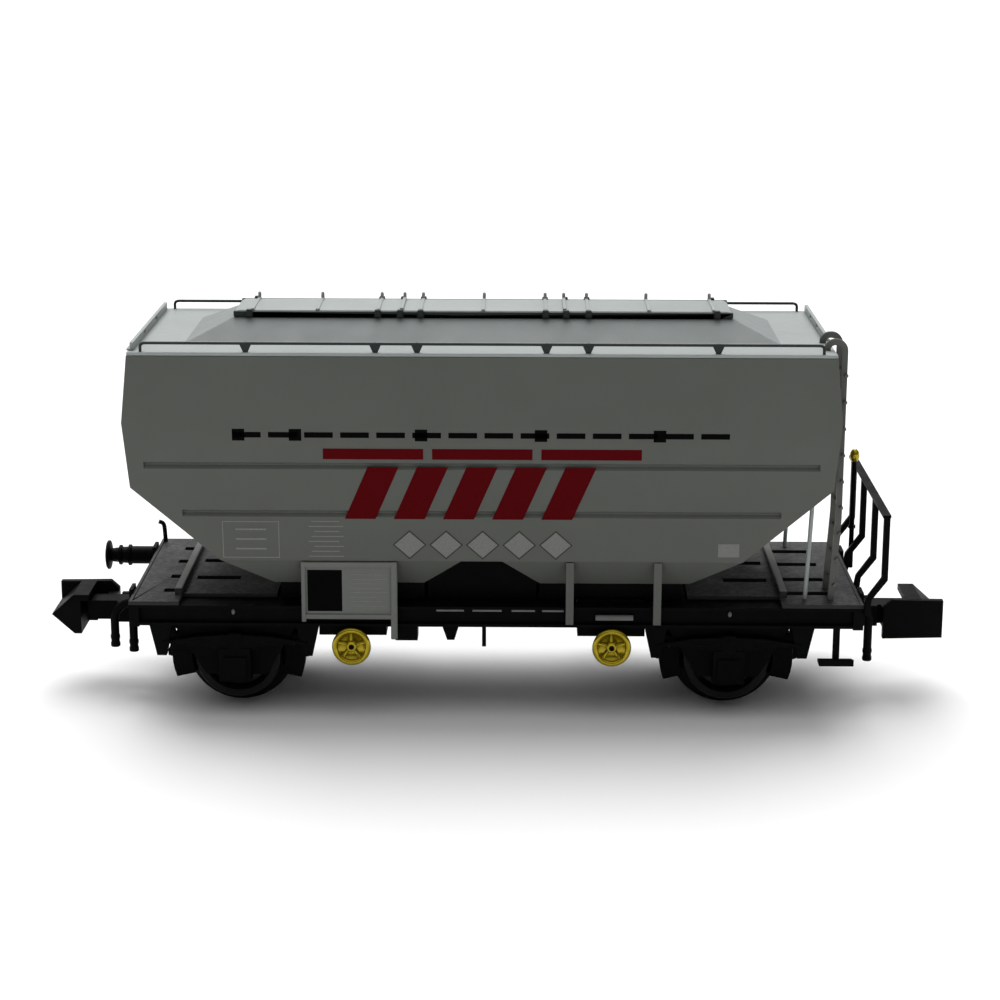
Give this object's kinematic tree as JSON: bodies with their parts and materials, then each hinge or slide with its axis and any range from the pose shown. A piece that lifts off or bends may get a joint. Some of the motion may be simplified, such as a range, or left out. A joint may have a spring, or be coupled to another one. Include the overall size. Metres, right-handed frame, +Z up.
{
  "type": "model hopper wagon",
  "caption": "Two-axle covered grain hopper wagon for 9 mm gauge model track, with ridged hopper body, long roof hatch, brake platform, hook couplings and turning wheelsets.",
  "frame": {"origin": "middle of the footprint of the whole wagon, on the plane under the wheel flanges", "axes": "+X along the wagon to the end with the brake platform, +Z up, +Y to the back side by the right-hand rule"},
  "size_m": [0.064, 0.0184, 0.0284],
  "materials": {
    "body_plastic": "satin warm light grey moulding",
    "roof_plastic": "satin pale cool grey moulding",
    "seal_plastic": "matt dark grey",
    "frame_plastic": "satin black moulding",
    "deck_plastic": "satin dark grey moulding",
    "wheel_metal": "blackened turned metal",
    "bare_steel": "bright steel",
    "yellow_paint": "glossy golden yellow"
  },
  "bodies": {
    "wagon": {"body_shell": "body_plastic", "hopper_bottom": "body_plastic", "roof": "roof_plastic", "hatch_cover": "roof_plastic", "ballast_weight": "bare_steel", "end_ladder": "roof_plastic", "roof_end_board_plain": "roof_plastic", "roof_end_board_platform": "roof_plastic", "underframe": "frame_plastic", "end_deck_plain": "deck_plastic", "end_deck_platform": "deck_plastic", "platform_railing": "frame_plastic", "brake_column": "frame_plastic", "buffer_plain_back": "frame_plastic", "lamp_iron": "frame_plastic", "brake_hose_plain": "frame_plastic", "brake_hose_platform": "frame_plastic", "hatch_seal_front": "seal_plastic", "roof_rail_front": "seal_plastic", "sign_panel_front": "roof_plastic", "stay_post_front": "roof_plastic", "chassis_screw_front": "bare_steel", "footstep_front": "frame_plastic", "stanchion_front_inner": "roof_plastic", "stanchion_front_outer": "roof_plastic", "hatch_seal_back": "seal_plastic", "roof_rail_back": "seal_plastic", "sign_panel_back": "roof_plastic", "stay_post_back": "roof_plastic", "chassis_screw_back": "bare_steel", "footstep_back": "frame_plastic", "stanchion_back_inner": "roof_plastic", "stanchion_back_outer": "roof_plastic", "brake_rigging_plain_outer": "frame_plastic", "brake_rigging_plain_inner": "frame_plastic", "discharge_gate_plain": "frame_plastic", "coupler_spring_plain": "bare_steel", "axle_guard_plain_front": "frame_plastic", "axle_guard_plain_back": "frame_plastic", "brake_rigging_platform_outer": "frame_plastic", "brake_rigging_platform_inner": "frame_plastic", "discharge_gate_platform": "frame_plastic", "coupler_spring_platform": "bare_steel", "axle_guard_platform_front": "frame_plastic", "axle_guard_platform_back": "frame_plastic"},
    "wheelset_plain": {"axle_plain": "bare_steel", "wheel_plain_front": "wheel_metal", "wheel_plain_back": "wheel_metal"},
    "coupler_arm_plain": {"coupler_arm_plain": "frame_plastic"},
    "coupler_head_plain": {"coupler_head_plain": "frame_plastic"},
    "handwheel_plain_front": {"handwheel_plain_front": "yellow_paint"},
    "handwheel_plain_back": {"handwheel_plain_back": "yellow_paint"},
    "wheelset_platform": {"axle_platform": "bare_steel", "wheel_platform_front": "wheel_metal", "wheel_platform_back": "wheel_metal"},
    "coupler_arm_platform": {"coupler_arm_platform": "frame_plastic"},
    "coupler_head_platform": {"coupler_head_platform": "frame_plastic"},
    "handwheel_platform_front": {"handwheel_platform_front": "yellow_paint"},
    "handwheel_platform_back": {"handwheel_platform_back": "yellow_paint"}
  },
  "joints": [
    {"name": "wheelset_plain_spin", "type": "hinge", "parent": "wagon", "child": "wheelset_plain", "pos_m": [-0.01815, 0, 0.00385], "axis": [0, 1, 0], "continuous": true},
    {"name": "coupler_arm_plain_swing", "type": "hinge", "parent": "wagon", "child": "coupler_arm_plain", "pos_m": [-0.02219, 0, 0.0056], "axis": [0, 0, 1], "range_deg": [-12, 12], "stiffness_Nm_per_rad": 0.002},
    {"name": "coupler_head_plain_lift", "type": "hinge", "parent": "coupler_arm_plain", "child": "coupler_head_plain", "pos_m": [-0.02669, 0, 0.0056], "axis": [0, 1, 0], "range_deg": [0, 8]},
    {"name": "handwheel_plain_front_turn", "type": "hinge", "parent": "wagon", "child": "handwheel_plain_front", "pos_m": [-0.00997, -0.00855, 0.00541], "axis": [0, 1, 0], "continuous": true},
    {"name": "handwheel_plain_back_turn", "type": "hinge", "parent": "wagon", "child": "handwheel_plain_back", "pos_m": [-0.00997, 0.00855, 0.00541], "axis": [0, 1, 0], "continuous": true},
    {"name": "wheelset_platform_spin", "type": "hinge", "parent": "wagon", "child": "wheelset_platform", "pos_m": [0.0162, 0, 0.00385], "axis": [0, 1, 0], "continuous": true},
    {"name": "coupler_arm_platform_swing", "type": "hinge", "parent": "wagon", "child": "coupler_arm_platform", "pos_m": [0.02219, 0, 0.0056], "axis": [0, 0, 1], "range_deg": [-12, 12], "stiffness_Nm_per_rad": 0.002},
    {"name": "coupler_head_platform_lift", "type": "hinge", "parent": "coupler_arm_platform", "child": "coupler_head_platform", "pos_m": [0.02669, 0, 0.0056], "axis": [0, -1, 0], "range_deg": [0, 8]},
    {"name": "handwheel_platform_front_turn", "type": "hinge", "parent": "wagon", "child": "handwheel_platform_front", "pos_m": [0.00802, -0.00855, 0.00541], "axis": [0, 1, 0], "continuous": true},
    {"name": "handwheel_platform_back_turn", "type": "hinge", "parent": "wagon", "child": "handwheel_platform_back", "pos_m": [0.00802, 0.00855, 0.00541], "axis": [0, 1, 0], "continuous": true}
  ]
}
